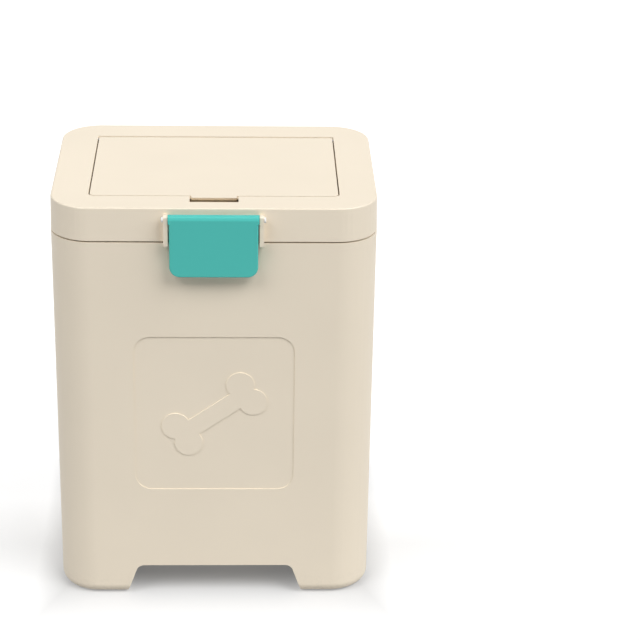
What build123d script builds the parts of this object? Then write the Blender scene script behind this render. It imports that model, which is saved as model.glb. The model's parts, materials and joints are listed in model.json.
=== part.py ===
from build123d import *
import os
from math import atan, degrees

# Dog waste station: a lidded bin with a lift-out bucket, a bag roll under a flap in the lid,
# and an odour filter behind a grille. Millimetres, +Z up, front towards -Y.
# Origin: on the floor, under the middle of the body.

# Body, outside
WIDTH = 340.0
DEPTH = 256.0
CORNER_R = 42.5
TOTAL_H = 457.0
LID_TALL = 37.2
SEAM_GAP = 1.8
BASE_INSET = 0.5
BASE_EDGE_R = 12.0
FOOT_W = 8.0
FOOT_H = 14.0

# Body, inside
WALL = 3.2
FLOOR_Z = 38.0
FLOOR_T = 3.2
RIM_W = 10.0
RIM_T = 4.0

# Arch under front and back
ARCH_H = 36.2
ARCH_TOP_W = 167.0
ARCH_FOOT_W = 193.0
ARCH_TOP_R = 9.0
ARCH_FOOT_R = 6.0
ARCH_MARGIN = 20.0

# Shallow front panel with a bone
PANEL_W = 170.0
PANEL_H = 181.0
PANEL_R = 18.0
PANEL_Z = 222.0
PANEL_DEPTH = 0.8
BONE_L = 84.0
BONE_BAR = 20.0
BONE_KNOB_R = 15.0
BONE_KNOB_OUT = 12.0
BONE_TILT = 35.0

# Paw-shaped air holes, low on the right side: (y, z, tilt)
PAWS = [(-40.0, 146.0, 22.0), (2.0, 118.0, -22.0), (-40.0, 88.0, 22.0), (2.0, 62.0, -22.0)]
PAW_PAD_W = 17.0
PAW_PAD_H = 11.0
PAW_TOE_L = 10.0
PAW_TOE_W = 6.2
PAW_TOE_REACH = 14.5
PAW_TOE_TURN = 38.0

# Rim trim ring
TRIM_T = 2.5
TRIM_H = 7.0
TRIM_LIP = 1.0
TRIM_LIP_T = 0.8

# Rear lid hinge
HINGE_R = 6.2
HINGE_GAP = 0.5
HINGE_PIN_R = 2.0
HINGE_X = 92.0
HINGE_WEB = 6.5
HINGE_WEB_GAP = 0.7
KNUCKLE_LID = 18.0
KNUCKLE_BIN = 9.0
KNUCKLE_GAP = 0.4
RUN = 0.08

# Lid
LID_INSET = 0.75
LID_EDGE_R = 1.5
LID_WALL = 3.0
LID_TOP_T = 4.0
FLAP_SIDE_IN = 41.2
FLAP_FRONT_IN = 36.4
FLAP_REAR_IN = 38.8
FLAP_GAP = 1.5
REST = 0.3

# Finger notch in front of the flap
NOTCH_W = 50.5
NOTCH_IN = 18.5
NOTCH_DEPTH = 9.0
NOTCH_WALL = 1.8

# Inner panel of the lid
PANEL_T = 2.5
EDGE_SHELF_DOWN = 20.0
EDGE_SHELF_W = 15.0
PLATEAU_DOWN = 27.0
PLATEAU_SLOPE = 8.0
WELL_WALL = 2.5
WELL_LEDGE = 1.5
SEAL_RIB_IN = 5.6
SEAL_RIB_T = 2.8
SEAL_H = 2.6

# Half-round trough of the bag roll
TROUGH_IN = 104.0
TROUGH_DOWN = 10.0
TROUGH_R = 62.0

# Filter, its cover and its grille
CHAMBER_LEDGE = 2.5
COVER_T = 2.5
COVER_DOWN = 10.5
COVER_GAP = 0.5
FILTER_SIDE_GAP = 2.5
FILTER_BACK_GAP = 1.8
FILTER_T = 8.0
FILTER_SLOT = 38.0
FILTER_SLOT_W = 4.5
FILTER_R = 2.0
COVER_R = 2.0
GRILLE_SIDE_IN = 65.0
GRILLE_OVER = 2.5
GRILLE_T = 1.6
GRILLE_FRAME = 4.0
GRILLE_BAR = 2.5
GRILLE_ROWS = 3
GRILLE_R = 2.0
GRILLE_COLUMNS = (1.0, 1.0, 0.72, 1.0, 1.0)

# Bag roll and its end holders
ROLL_DOWN = 34.0
ROLL_R = 26.0
CORE_R = 14.0
CORE_T = 2.0
PLUG_IN = 8.0
PLUG_R = 8.5
PLUG_OUT = 8.5
PLUG_RUN = 0.1
PLUG_BEVEL = 1.0
CRADLE_R = 24.0
CRADLE_T = 9.0
CRADLE_WEB = 1.0
ROLL_GAP = 2.5
BOSS_R = 12.0
BOSS_L = 8.5
BOSS_BEVEL = 1.5

# Flap
FLAP_BARREL_R = 2.9
FLAP_PIN_R = 1.4
FLAP_PIN_L = 12.0
FLAP_PIN_SEAT = 4.5
FLAP_RIBS = 5
FLAP_RIB_PITCH = 9.0
FLAP_RIB_T = 2.0
FLAP_RIB_H = 1.8
FLAP_RIB_X = 122.0
FLAP_RIB_FIRST = 7.0
FLAP_CORNER_R = 6.0
FLAP_BOSS = 4.0
TAB_REACH = 6.0
TAB_SIDE_GAP = 1.8
TAB_NOSE = 0.4

# Latch, its bracket and its catch
LATCH_W = 91.2
LATCH_BOTTOM_DOWN = 71.4
LATCH_DEEP = 8.0
LATCH_T = 4.0
LATCH_RIM = 2.6
LATCH_AXIS_DOWN = 9.2
LATCH_BARREL_R = 5.1
LATCH_AXIS_OUT = 8.4
LATCH_CORNER_R = 11.0
LATCH_BEVEL = 1.6
LATCH_PIN_R = 2.0
LATCH_SIDE_RUN = 0.3
CROWN_LOW = 3.3
CROWN_UP = 4.7
CROWN_LEAN = 0.85
CROWN_R = 2.6
RIDGE_W = 56.0
RIDGE_H = 2.2
RIDGE_UP = 0.4
EAR_T = 4.7
EAR_GAP = 1.3
EAR_BOTTOM_DOWN = 39.5
EAR_TOP_DOWN = 4.9
EAR_SHOULDER_DOWN = 7.2
EAR_OUT = 10.4
EAR_TOP_OUT = 4.0
EAR_CLEAR = 0.4
EAR_R = 2.5
BRACKET_T = 1.6
HEAD_R = 3.0
HEAD_T = 2.0
CATCH_W = 63.0
CATCH_BOTTOM_DOWN = 68.0
CATCH_H = 20.0
CATCH_T = 1.6
CATCH_RIDGE_H = 3.4
CATCH_GAP = 1.5
CATCH_R = 3.0

# Bucket
BUCKET_GAP = 2.0
BUCKET_DOWN = 41.5
BUCKET_T = 2.5
COLLAR_H = 86.0
COLLAR_IN = 58.5
LEDGE_IN = 12.0
WELL_DRAFT = 7.0
WELL_RIB = 1.2
WELL_RIB_PITCH = 17.0
WELL_RIB_W = 3.0
WELL_RIB_LOW = 12.0
WELL_RIB_HIGH = 9.0
BEAD_T = 0.8
BEAD_DOWN = 3.0
BEAD_UP = 2.0

# Bucket handles
HANDLE_IN = 3.8
HANDLE_AXIS_DOWN = 10.5
HANDLE_REACH = 42.0
HANDLE_SPAN = 144.0
HANDLE_T = 2.6
HANDLE_W = 7.0
HANDLE_EYE_R = 3.0
HANDLE_PIN_R = 1.5
HANDLE_CORNER_R = 12.0
LUG_W = 4.0
LUG_H = 8.0
LUG_GAP = 0.4

# Places that follow from the sizes
SEAM_Z = TOTAL_H - LID_TALL
BODY_TOP = SEAM_Z - SEAM_GAP / 2
LID_BOTTOM = SEAM_Z + SEAM_GAP / 2
LID_H = TOTAL_H - LID_BOTTOM
LID_UNDER = TOTAL_H - LID_TOP_T
BODY_DRAFT = degrees(atan(BASE_INSET / BODY_TOP))
LID_DRAFT = degrees(atan(LID_INSET / LID_H))
HINGE_Y = DEPTH / 2 + HINGE_GAP + HINGE_R
LATCH_AXIS_Z = TOTAL_H - LATCH_AXIS_DOWN
LATCH_BOTTOM = TOTAL_H - LATCH_BOTTOM_DOWN
EAR_BOTTOM = TOTAL_H - EAR_BOTTOM_DOWN
EAR_TOP = TOTAL_H - EAR_TOP_DOWN
CATCH_BOTTOM = TOTAL_H - CATCH_BOTTOM_DOWN
LID_FACE = DEPTH / 2 - LID_INSET * (LATCH_AXIS_Z - LID_BOTTOM) / LID_H
LATCH_Y = -(LID_FACE + LATCH_AXIS_OUT)
LATCH_FRONT = LATCH_Y - LATCH_BARREL_R
LATCH_BACK = LATCH_FRONT + LATCH_DEEP
CATCH_FACE = LATCH_BACK + CATCH_GAP
EAR_X = LATCH_W / 2 + EAR_GAP
TRIM_INSET = RIM_W + TRIM_T
BUCKET_INSET = TRIM_INSET + BUCKET_GAP
BUCKET_BOTTOM = FLOOR_Z + FLOOR_T + REST
COLLAR_INSET = BUCKET_INSET + BUCKET_T
BUCKET_TOP = TOTAL_H - BUCKET_DOWN
WELL_INSET = COLLAR_INSET + LEDGE_IN
LEDGE_Z = BUCKET_TOP - COLLAR_IN
EDGE_SHELF_Z = TOTAL_H - EDGE_SHELF_DOWN
PLATEAU_Z = TOTAL_H - PLATEAU_DOWN
PLATEAU_INSET = LID_WALL + EDGE_SHELF_W
FLAP_X = WIDTH / 2 - FLAP_SIDE_IN
FLAP_FRONT = FLAP_FRONT_IN - DEPTH / 2
FLAP_REAR = DEPTH / 2 - FLAP_REAR_IN
NOTCH_Y = NOTCH_IN - DEPTH / 2
WELL_X = FLAP_X - WELL_LEDGE
ROLL_L = 2 * (WELL_X - CRADLE_T - ROLL_GAP)
WELL_FRONT = FLAP_FRONT + 2 * WELL_LEDGE
FILTER_W = 2 * (WELL_X - FILTER_SIDE_GAP)
GRILLE_W = WIDTH - 2 * GRILLE_SIDE_IN
COVER_Z = TOTAL_H - COVER_DOWN
WELL_TOP = LID_UNDER - REST
CHAMBER_FLOOR = PLATEAU_Z + PANEL_T
TROUGH_Y = DEPTH / 2 - TROUGH_IN
TROUGH_Z = TOTAL_H - TROUGH_DOWN
TROUGH_FRONT = TROUGH_Y - TROUGH_R
FILTER_D = TROUGH_FRONT - PANEL_T - FILTER_BACK_GAP - WELL_FRONT - REST
FILTER_Y = WELL_FRONT + REST + FILTER_D / 2
GRILLE_D = FILTER_D + 2 * GRILLE_OVER
ROLL_Z = TOTAL_H - ROLL_DOWN
FLAP_AXIS_Y = FLAP_REAR - FLAP_BARREL_R
FLAP_AXIS_Z = TOTAL_H - FLAP_BARREL_R
NOTCH_FLOOR = TOTAL_H - NOTCH_DEPTH
HANDLE_X = WIDTH / 2 - COLLAR_INSET - HANDLE_IN
HANDLE_AXIS_Z = BUCKET_TOP - HANDLE_AXIS_DOWN
LEG_Y = (HANDLE_SPAN - HANDLE_W) / 2, (HANDLE_SPAN + HANDLE_W) / 2
SLACK = 1.0


def outline(inset, z=0.0):
    """The body's rounded outline, drawn in by inset, level at height z."""
    return Pos(0, 0, z) * RectangleRounded(WIDTH - 2 * inset, DEPTH - 2 * inset, CORNER_R - inset)


def prism(face, height, taper=0.0):
    """A level face raised by height."""
    return extrude(face, amount=height, taper=taper)


def block(x0, x1, y0, y1, z0, z1):
    """A box from its corners."""
    return Pos((x0 + x1) / 2, (y0 + y1) / 2, (z0 + z1) / 2) * Box(x1 - x0, y1 - y0, z1 - z0)


def rod_x(radius, x0, x1, y, z):
    """A round bar along X."""
    return Pos((x0 + x1) / 2, y, z) * Rot(0, 90, 0) * Cylinder(radius, x1 - x0)


def rod_y(radius, y0, y1, x, z):
    """A round bar along Y."""
    return Pos(x, (y0 + y1) / 2, z) * Rot(90, 0, 0) * Cylinder(radius, y1 - y0)


def band(outer, inner, z0, z1):
    """A level ring between two insets of the body's outline."""
    return prism(outline(outer, z0), z1 - z0) - prism(outline(inner, z0), z1 - z0)


def mirrored(shape):
    """The same shape on the other side of the middle."""
    return mirror(shape, about=Plane.YZ)


def arch():
    """The opening under front and back, with flared feet."""
    half_foot = ARCH_FOOT_W / 2
    wide = ARCH_FOOT_W + 2 * ARCH_MARGIN
    high = ARCH_H + ARCH_MARGIN
    trapeze = Polyline((-half_foot, 0), (-ARCH_TOP_W / 2, ARCH_H), (ARCH_TOP_W / 2, ARCH_H), (half_foot, 0),
                       close=True)
    frame = Pos(0, high / 2) * Rectangle(wide, high) - make_face(trapeze)
    inner = frame.vertices().filter_by(lambda v: abs(v.X) < half_foot + SLACK)
    frame = fillet(inner.group_by(Axis.Y)[-1], ARCH_TOP_R)
    feet = frame.vertices().filter_by(lambda v: abs(v.X) < half_foot + SLACK).group_by(Axis.Y)[0]
    frame = fillet(feet, ARCH_FOOT_R)
    whole = Pos(0, high / 2 - SLACK) * Rectangle(wide, high)
    opening = whole - frame
    return extrude(Plane.XZ * opening, amount=DEPTH, both=True)


def bone():
    """A plain bone, flat."""
    knobs = [Pos(x * BONE_L / 2, y * BONE_KNOB_OUT) * Circle(BONE_KNOB_R) for x in (-1, 1) for y in (-1, 1)]
    return Rot(0, 0, BONE_TILT) * (Rectangle(BONE_L, BONE_BAR) + knobs)


def panel_recess():
    """What the shallow front panel takes out of the body: all but the bone."""
    lean = BASE_INSET * (1 - PANEL_Z / BODY_TOP)
    bottom = -(DEPTH / 2 - lean) + PANEL_DEPTH
    face = Plane(origin=(0, bottom, PANEL_Z), x_dir=(1, 0, 0), z_dir=(0, -1, 0))
    return extrude(face * (RectangleRounded(PANEL_W, PANEL_H, PANEL_R) - bone()), amount=PANEL_DEPTH + SLACK)


def paw_holes():
    """Air holes through the right wall: a pad and four toes each."""
    pad = Ellipse(PAW_PAD_W / 2, PAW_PAD_H / 2) + Pos(0, PAW_PAD_H / 4) * Circle(PAW_PAD_H / 2)
    toe = Ellipse(PAW_TOE_W / 2, PAW_TOE_L / 2)
    toes = [Rot(0, 0, (i - 1.5) * PAW_TOE_TURN) * Pos(0, PAW_TOE_REACH) * toe for i in range(4)]
    paw = pad + toes
    wall = [Plane(origin=(WIDTH / 2, y, z), x_dir=(0, 1, 0), z_dir=(1, 0, 0)) * Rot(0, 0, tilt) * paw
            for y, z, tilt in PAWS]
    return extrude(Sketch() + wall, amount=3 * WALL, both=True)


def body_block():
    """The body's outer shape."""
    solid = prism(outline(BASE_INSET), BODY_TOP, taper=-BODY_DRAFT)
    return fillet(solid.faces().sort_by(Axis.Z)[0].edges(), BASE_EDGE_R)


def body_room(z0, z1):
    """The hollow inside the body's walls, between two heights."""
    return prism(outline(BASE_INSET + WALL, z0), z1 - z0, taper=-BODY_DRAFT)


def knuckles(centres, width, pin_r, z0, z1):
    """Barrels on the rear hinge's axis, each with a web to the wall."""
    parts = []
    for x in centres:
        barrel = rod_x(HINGE_R, x - width / 2, x + width / 2, HINGE_Y, SEAM_Z)
        web = block(x - width / 2, x + width / 2, DEPTH / 2 - WALL / 2, HINGE_Y, z0, z1)
        bore = rod_x(pin_r, x - width, x + width, HINGE_Y, SEAM_Z)
        parts.append(barrel + web - bore)
    return parts


def bin_knuckle_centres():
    """The middles of the bin's knuckles, a pair beside each of the lid's."""
    step = (KNUCKLE_LID + KNUCKLE_BIN) / 2 + KNUCKLE_GAP
    return [side * HINGE_X + out * step for side in (-1, 1) for out in (-1, 1)]


def make_bin_shell():
    """The moulded body, with its rim, foot, arch, panel, air holes and hinge knuckles."""
    foot = loft([outline(BASE_EDGE_R + FOOT_W), outline(BASE_INSET + WALL, FOOT_H)])
    mouth = prism(outline(RIM_W, BODY_TOP - RIM_T - SLACK), RIM_T + 2 * SLACK)
    shell = body_block() - body_room(FOOT_H, BODY_TOP - RIM_T) - foot - mouth
    shell -= [arch(), panel_recess(), paw_holes()]
    return shell + knuckles(bin_knuckle_centres(), KNUCKLE_BIN, HINGE_PIN_R,
                            BODY_TOP - HINGE_WEB - HINGE_WEB_GAP, BODY_TOP - HINGE_WEB_GAP)


def make_bin_floor():
    """The raised floor under the bucket."""
    return body_room(FLOOR_Z, FLOOR_Z + FLOOR_T)


def make_rim_gasket():
    """The trim ring that lines the mouth, with a small lip over the rim."""
    lining = band(RIM_W, TRIM_INSET, BODY_TOP - TRIM_H, BODY_TOP + TRIM_LIP_T)
    return lining + band(RIM_W - TRIM_LIP, RIM_W, BODY_TOP, BODY_TOP + TRIM_LIP_T)


def make_latch_catch():
    """The catch on the body's front: a plate with a ridge along its lower edge."""
    top = CATCH_BOTTOM + CATCH_H
    plate = block(-CATCH_W / 2, CATCH_W / 2, -DEPTH / 2 - CATCH_T, -DEPTH / 2 + SLACK, CATCH_BOTTOM, top)
    plate = fillet(plate.edges().filter_by(Axis.Y), CATCH_R)
    ridge = block(-RIDGE_W / 2, RIDGE_W / 2, CATCH_FACE, -DEPTH / 2 + SLACK,
                  CATCH_BOTTOM, CATCH_BOTTOM + CATCH_RIDGE_H)
    body = prism(outline(BASE_INSET), BODY_TOP, taper=-BODY_DRAFT)
    return plate + ridge - body


def make_hinge_pins():
    """One pin for each rear hinge."""
    reach = KNUCKLE_LID / 2 + KNUCKLE_GAP + KNUCKLE_BIN
    return [rod_x(HINGE_PIN_R, x - reach, x + reach, HINGE_Y, SEAM_Z) for x in (-HINGE_X, HINGE_X)]


def lid_block():
    """The lid's outer shape, without its rounded top edge."""
    return prism(outline(0, LID_BOTTOM), LID_H, taper=LID_DRAFT)


def lid_room():
    """The hollow under the lid's top."""
    return prism(outline(LID_WALL, LID_BOTTOM), LID_UNDER - LID_BOTTOM, taper=LID_DRAFT)


def front_rounded(half_x, front, rear, radius, z0, z1):
    """An upright plate with its two front corners rounded."""
    plate = block(-half_x, half_x, front, rear, z0, z1)
    return fillet(plate.edges().filter_by(Axis.Z).group_by(Axis.Y)[0], radius)


def notch_room(rear):
    """The space of the finger notch, back to rear."""
    return block(-NOTCH_W / 2, NOTCH_W / 2, NOTCH_Y, rear, NOTCH_FLOOR, TOTAL_H + SLACK)


def flap_pin(side, radius, extra=0.0):
    """The stub pin at one end of the flap's hinge."""
    outer = FLAP_X + FLAP_PIN_SEAT + extra
    pin = rod_x(radius, outer - extra - FLAP_PIN_L, outer, FLAP_AXIS_Y, FLAP_AXIS_Z)
    return pin if side > 0 else mirrored(pin)


def make_lid_shell():
    """The lid's top and skirt, with the flap's opening, the finger notch and the hinge knuckles."""
    shell = fillet(lid_block().faces().sort_by(Axis.Z)[-1].edges(), LID_EDGE_R) - lid_room()
    cup_rear = WELL_FRONT - WELL_WALL - REST
    shell += block(-NOTCH_W / 2 - NOTCH_WALL, NOTCH_W / 2 + NOTCH_WALL, NOTCH_Y - NOTCH_WALL, cup_rear,
                   NOTCH_FLOOR - NOTCH_WALL, LID_UNDER)
    boss_x = FLAP_X + FLAP_GAP
    boss = block(boss_x, boss_x + FLAP_PIN_SEAT + NOTCH_WALL,
                 FLAP_AXIS_Y - FLAP_BOSS, FLAP_AXIS_Y + FLAP_BOSS, LID_UNDER - FLAP_BOSS, LID_UNDER)
    shell += [boss, mirrored(boss)]
    shell -= front_rounded(FLAP_X + FLAP_GAP, FLAP_FRONT - FLAP_GAP, FLAP_REAR + FLAP_GAP,
                           FLAP_CORNER_R + FLAP_GAP, LID_UNDER, TOTAL_H + SLACK)
    shell -= notch_room(cup_rear)
    shell -= [flap_pin(side, FLAP_PIN_R + RUN, REST) for side in (-1, 1)]
    return shell + knuckles([-HINGE_X, HINGE_X], KNUCKLE_LID, HINGE_PIN_R + RUN,
                            LID_BOTTOM + HINGE_WEB_GAP, LID_BOTTOM + HINGE_WEB_GAP + HINGE_WEB)


def trough(radius, half_x, top):
    """A half-round bar along X with upright sides up to top."""
    round_part = rod_x(radius, -half_x, half_x, TROUGH_Y, TROUGH_Z)
    lower = block(-half_x, half_x, TROUGH_Y - radius, TROUGH_Y + radius, TROUGH_Z - radius, TROUGH_Z)
    upper = block(-half_x, half_x, TROUGH_Y - radius, TROUGH_Y + radius, TROUGH_Z, top)
    return (round_part & lower) + upper


def tub_outside():
    """The outer shape of the tub that holds the bag roll."""
    return trough(TROUGH_R + PANEL_T, WELL_X + WELL_WALL, WELL_TOP)


def flap_barrel_room():
    """Room for the flap's barrel to turn, under the lid's top."""
    room = FLAP_BARREL_R + 2 * REST
    return block(-FLAP_X - REST, FLAP_X + REST, FLAP_AXIS_Y - room, TROUGH_Y + TROUGH_R + 2 * PANEL_T,
                 FLAP_AXIS_Z - room, LID_UNDER)


def boss_rooms():
    """Bores for the bosses of the two end holders."""
    bore = rod_x(BOSS_R + RUN, WELL_X, WELL_X + WELL_WALL + BOSS_L + REST, TROUGH_Y, ROLL_Z)
    return [bore, mirrored(bore)]


def make_lid_inner_panel():
    """The panel that closes the lid from below: edge shelf, plateau and filter chamber."""
    shelf_top = EDGE_SHELF_Z + PANEL_T
    sloped = PLATEAU_INSET + PLATEAU_SLOPE
    panel = prism(outline(LID_WALL, EDGE_SHELF_Z), PANEL_T) & lid_room()
    panel += loft([outline(sloped, PLATEAU_Z), outline(PLATEAU_INSET, EDGE_SHELF_Z)])
    panel -= loft([outline(sloped + PANEL_T, CHAMBER_FLOOR), outline(PLATEAU_INSET + PANEL_T, shelf_top)])
    panel += block(-WELL_X - WELL_WALL, WELL_X + WELL_WALL, WELL_FRONT - WELL_WALL, TROUGH_Y,
                   PLATEAU_Z, WELL_TOP)
    panel -= block(-WELL_X, WELL_X, WELL_FRONT, TROUGH_Y, CHAMBER_FLOOR, WELL_TOP)
    panel += block(-WELL_X, WELL_X, WELL_FRONT, WELL_FRONT + CHAMBER_LEDGE, COVER_Z - CHAMBER_LEDGE, COVER_Z)
    window_x = GRILLE_W / 2 - GRILLE_FRAME
    window_y = GRILLE_D / 2 - GRILLE_FRAME
    panel -= block(-window_x, window_x, FILTER_Y - window_y, FILTER_Y + window_y, PLATEAU_Z, CHAMBER_FLOOR)
    panel -= notch_room(WELL_FRONT + CHAMBER_LEDGE)
    panel -= [tub_outside(), flap_barrel_room()] + boss_rooms()
    return panel + band(SEAL_RIB_IN, SEAL_RIB_IN + SEAL_RIB_T, BODY_TOP + REST + SEAL_H, EDGE_SHELF_Z)


def make_roll_tub():
    """The half-round tub behind the filter, with a bored wall at each end."""
    tub = tub_outside() - trough(TROUGH_R, WELL_X, WELL_TOP)
    tub -= block(-WELL_X, WELL_X, TROUGH_FRONT - PANEL_T, TROUGH_FRONT, COVER_Z, WELL_TOP)
    return tub - flap_barrel_room() - boss_rooms()


def make_lid_seal():
    """The soft ring at the foot of the panel's rib."""
    return band(SEAL_RIB_IN, SEAL_RIB_IN + SEAL_RIB_T, BODY_TOP + REST, BODY_TOP + REST + SEAL_H)


def grille_columns():
    """The middle and the width of each column of openings."""
    span = GRILLE_W - 2 * GRILLE_FRAME - (len(GRILLE_COLUMNS) - 1) * GRILLE_BAR
    columns = []
    x = -GRILLE_W / 2 + GRILLE_FRAME
    for share in GRILLE_COLUMNS:
        width = span * share / sum(GRILLE_COLUMNS)
        columns.append((x + width / 2, width))
        x += width + GRILLE_BAR
    return columns


def make_filter_grille():
    """The grille under the filter, with a plain pad in its middle."""
    height = (GRILLE_D - 2 * GRILLE_FRAME - (GRILLE_ROWS - 1) * GRILLE_BAR) / GRILLE_ROWS
    face = RectangleRounded(GRILLE_W, GRILLE_D, GRILLE_R)
    middle = len(GRILLE_COLUMNS) // 2, GRILLE_ROWS // 2
    for column, (x, width) in enumerate(grille_columns()):
        for row in range(GRILLE_ROWS):
            if (column, row) != middle:
                y = (row - (GRILLE_ROWS - 1) / 2) * (height + GRILLE_BAR)
                face -= Pos(x, y) * Rectangle(width, height)
    return Pos(0, FILTER_Y, PLATEAU_Z - GRILLE_T) * extrude(face, amount=GRILLE_T)


def make_carbon_filter():
    """The odour filter: a plate with a finger slot."""
    face = RectangleRounded(FILTER_W, FILTER_D, FILTER_R) - SlotOverall(FILTER_SLOT, FILTER_SLOT_W)
    return Pos(0, FILTER_Y, CHAMBER_FLOOR) * extrude(face, amount=FILTER_T)


def make_filter_cover():
    """The cover over the filter, in front of the roll."""
    return front_rounded(WELL_X - COVER_GAP, WELL_FRONT + COVER_GAP, TROUGH_FRONT, COVER_R,
                         COVER_Z, COVER_Z + COVER_T)


def make_roll_cradle():
    """The right end holder: a disc with an open slot, and a boss through the trough's end."""
    inner = WELL_X - CRADLE_T
    disc = rod_x(CRADLE_R, inner, WELL_X, TROUGH_Y, ROLL_Z)
    boss = rod_x(BOSS_R, WELL_X, WELL_X + WELL_WALL + BOSS_L, TROUGH_Y, ROLL_Z)
    boss = chamfer(boss.faces().sort_by(Axis.X)[-1].edges(), BOSS_BEVEL)
    slot_r = PLUG_R + PLUG_RUN
    slot_end = WELL_X - CRADLE_WEB
    slot = rod_x(slot_r, inner, slot_end, TROUGH_Y, ROLL_Z)
    slot += block(inner, slot_end, TROUGH_Y - slot_r, TROUGH_Y + slot_r, ROLL_Z, ROLL_Z + CRADLE_R)
    return disc + boss - slot


def make_latch_bracket():
    """Two ears beside the latch, joined by a thin plate on the lid's front."""
    front = -DEPTH / 2 - EAR_OUT
    root = -DEPTH / 2 + SLACK
    profile = Polyline((root, EAR_BOTTOM), (front, EAR_BOTTOM), (front, EAR_TOP),
                       (-DEPTH / 2 - EAR_TOP_OUT, EAR_TOP), (root, TOTAL_H - EAR_SHOULDER_DOWN), close=True)
    ear = extrude(Plane.YZ.offset(EAR_X) * make_face(profile), amount=EAR_T)
    ear = fillet(ear.edges().filter_by(Axis.X).group_by(Axis.Y)[0], EAR_R)
    plate = block(-EAR_X, EAR_X, -DEPTH / 2 - BRACKET_T, -DEPTH / 2 + SLACK,
                  LID_BOTTOM, LATCH_AXIS_Z - LATCH_BARREL_R - SLACK)
    bracket = ear + mirrored(ear) + plate - lid_block()
    bracket -= block(-WIDTH, WIDTH, -DEPTH / 2 - EAR_CLEAR, 0, 0, LID_BOTTOM)
    return bracket - rod_x(LATCH_PIN_R, -WIDTH, WIDTH, LATCH_Y, LATCH_AXIS_Z)


def make_latch_pin():
    """The latch's pin, with a head outside each ear."""
    reach = EAR_X + EAR_T
    pin = rod_x(LATCH_PIN_R, -reach, reach, LATCH_Y, LATCH_AXIS_Z)
    head = rod_x(HEAD_R, reach, reach + HEAD_T, LATCH_Y, LATCH_AXIS_Z)
    head = fillet(head.faces().sort_by(Axis.X)[-1].edges(), HEAD_T / 2)
    return pin + head + mirrored(head)


def latch_slab():
    """The latch's front wall, with a rim behind its sides and its lower edge."""
    half = LATCH_W / 2
    slab = block(-half, half, LATCH_FRONT, LATCH_BACK, LATCH_BOTTOM, LATCH_AXIS_Z)
    slab = fillet(slab.edges().filter_by(Axis.Y).group_by(Axis.Z)[0], LATCH_CORNER_R)
    edge = slab.faces().sort_by(Axis.Y)[0].edges().filter_by(lambda e: e.center().Z < LATCH_AXIS_Z - SLACK)
    slab = fillet(edge, LATCH_BEVEL)
    hollow = block(-half + LATCH_RIM, half - LATCH_RIM, LATCH_FRONT + LATCH_T, LATCH_BACK + SLACK,
                   LATCH_BOTTOM + LATCH_RIM, LATCH_AXIS_Z - LATCH_BARREL_R - SLACK)
    return slab - fillet(hollow.edges().filter_by(Axis.Y).group_by(Axis.Z)[0], LATCH_CORNER_R - LATCH_RIM)


def latch_crown():
    """The bar along the latch's top, which leans back a little and turns between the ears."""
    half = EAR_X - LATCH_SIDE_RUN
    low = LATCH_AXIS_Z - CROWN_LOW
    top = LATCH_AXIS_Z + CROWN_UP
    profile = Polyline((LATCH_FRONT, low), (LATCH_FRONT + CROWN_LEAN, top), (LATCH_Y, top), (LATCH_Y, low),
                       close=True)
    bar = extrude(Plane.YZ * make_face(profile), amount=half, both=True)
    bar = fillet(bar.edges().filter_by(Axis.X).group_by(Axis.Z)[-1].sort_by(Axis.Y)[0], CROWN_R)
    return bar + rod_x(LATCH_BARREL_R, -half, half, LATCH_Y, LATCH_AXIS_Z)


def make_latch():
    """The teal latch: a hollow plate under a turning bar, with a small snap ridge inside."""
    ridge_z = LATCH_BOTTOM + RIDGE_UP
    ridge = block(-RIDGE_W / 2, RIDGE_W / 2, LATCH_BACK - SLACK, CATCH_FACE - REST,
                  ridge_z, ridge_z + RIDGE_H)
    bore = rod_x(LATCH_PIN_R + RUN, -EAR_X, EAR_X, LATCH_Y, LATCH_AXIS_Z)
    return latch_slab() + latch_crown() + ridge - bore


def flap_tab():
    """The tab over the finger notch, cut back below so that a finger finds its edge."""
    half = NOTCH_W / 2 - TAB_SIDE_GAP
    tab = block(-half, half, FLAP_FRONT - TAB_REACH, FLAP_FRONT + SLACK, LID_UNDER, TOTAL_H)
    lower = tab.edges().filter_by(Axis.X).group_by(Axis.Y)[0].sort_by(Axis.Z)[0]
    return chamfer(lower, LID_TOP_T - TAB_NOSE)


def make_flap():
    """The flap: a plate with a tab in front, a barrel along its rear edge and ribs under its free edge."""
    plate = front_rounded(FLAP_X, FLAP_FRONT, FLAP_AXIS_Y, FLAP_CORNER_R, LID_UNDER, TOTAL_H)
    flap = plate + flap_tab() + rod_x(FLAP_BARREL_R, -FLAP_X, FLAP_X, FLAP_AXIS_Y, FLAP_AXIS_Z)
    for i in range(FLAP_RIBS):
        y = FLAP_FRONT + FLAP_RIB_FIRST + i * FLAP_RIB_PITCH
        flap += block(-FLAP_RIB_X, FLAP_RIB_X, y, y + FLAP_RIB_T, LID_UNDER - FLAP_RIB_H, LID_UNDER)
    return flap - [flap_pin(side, FLAP_PIN_R) for side in (-1, 1)]


def make_roll():
    """The bag roll: wound film, its core and a plug in each end of the core."""
    half = ROLL_L / 2
    film = rod_x(ROLL_R, -half, half, TROUGH_Y, ROLL_Z) - rod_x(CORE_R, -half, half, TROUGH_Y, ROLL_Z)
    bore = rod_x(CORE_R - CORE_T, -half, half, TROUGH_Y, ROLL_Z)
    core = rod_x(CORE_R, -half, half, TROUGH_Y, ROLL_Z) - bore
    plug = rod_x(CORE_R - CORE_T, half - PLUG_IN, half, TROUGH_Y, ROLL_Z)
    plug += rod_x(PLUG_R, half, half + PLUG_OUT, TROUGH_Y, ROLL_Z)
    plug = chamfer(plug.faces().sort_by(Axis.X)[-1].edges(), PLUG_BEVEL)
    return film, core, plug


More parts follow.
